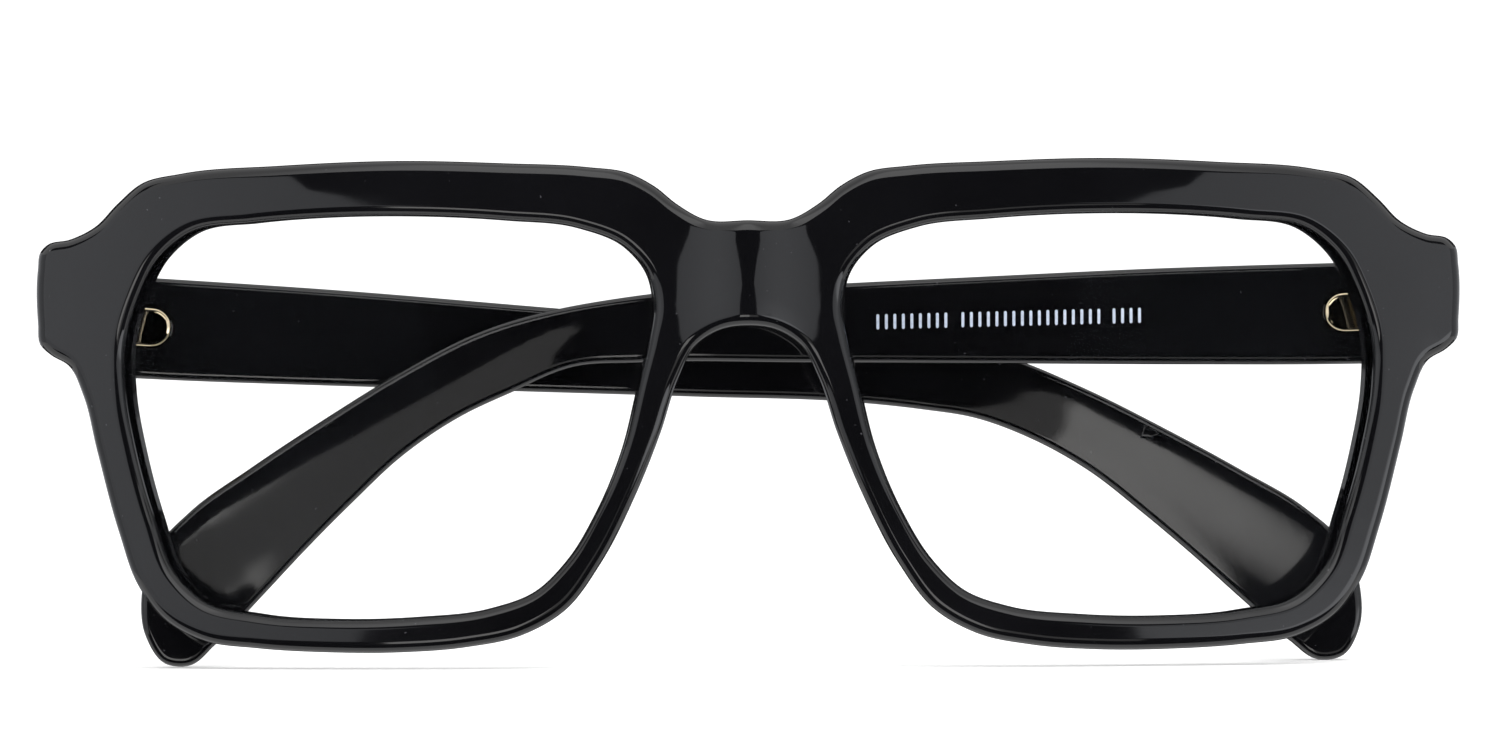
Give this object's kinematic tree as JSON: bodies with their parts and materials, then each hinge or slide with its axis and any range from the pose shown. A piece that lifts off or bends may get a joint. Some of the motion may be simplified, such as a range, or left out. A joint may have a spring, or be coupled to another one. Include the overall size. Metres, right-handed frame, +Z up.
{
  "type": "eyeglasses",
  "caption": "Full-rim eyeglasses with a thick squared acetate front, clear lenses and two temples that fold in on screw hinges.",
  "frame": {"origin": "on the surface that the rims and the temple tips stand on, at the centre of the folded glasses' bounding box", "axes": "+X towards the wearer's left along the front, +Y back from the lenses to the wearer, +Z up as worn; the hinge axes run along Z"},
  "size_m": [0.1432, 0.0242, 0.0507],
  "materials": {
    "black_acetate": "polished to a high gloss",
    "clear_lens": "clear, anti-reflection coated",
    "nose_pad_acetate": "polished",
    "gold_hinge_metal": "polished pale gold plating",
    "core_steel": "drawn wire"
  },
  "bodies": {
    "front": {"front_frame": "black_acetate", "left_lens": "clear_lens", "right_lens": "clear_lens", "left_nose_pad": "nose_pad_acetate", "right_nose_pad": "nose_pad_acetate", "left_front_hinge": "gold_hinge_metal", "right_front_hinge": "gold_hinge_metal", "left_hinge_screw": "gold_hinge_metal", "right_hinge_screw": "gold_hinge_metal"},
    "left_arm": {"left_temple": "black_acetate", "left_temple_hinge": "gold_hinge_metal", "left_temple_core": "core_steel"},
    "right_arm": {"right_temple": "black_acetate", "right_temple_hinge": "gold_hinge_metal", "right_temple_core": "core_steel"}
  },
  "joints": [
    {"name": "left_temple_fold", "type": "hinge", "parent": "front", "child": "left_arm", "pos_m": [0.0652, 0.003, 0.0354], "axis": [0, 0, -1], "range_deg": [0, 93.2]},
    {"name": "right_temple_fold", "type": "hinge", "parent": "front", "child": "right_arm", "pos_m": [-0.0652, 0.003, 0.0354], "axis": [0, 0, 1], "range_deg": [0, 89.1]}
  ]
}
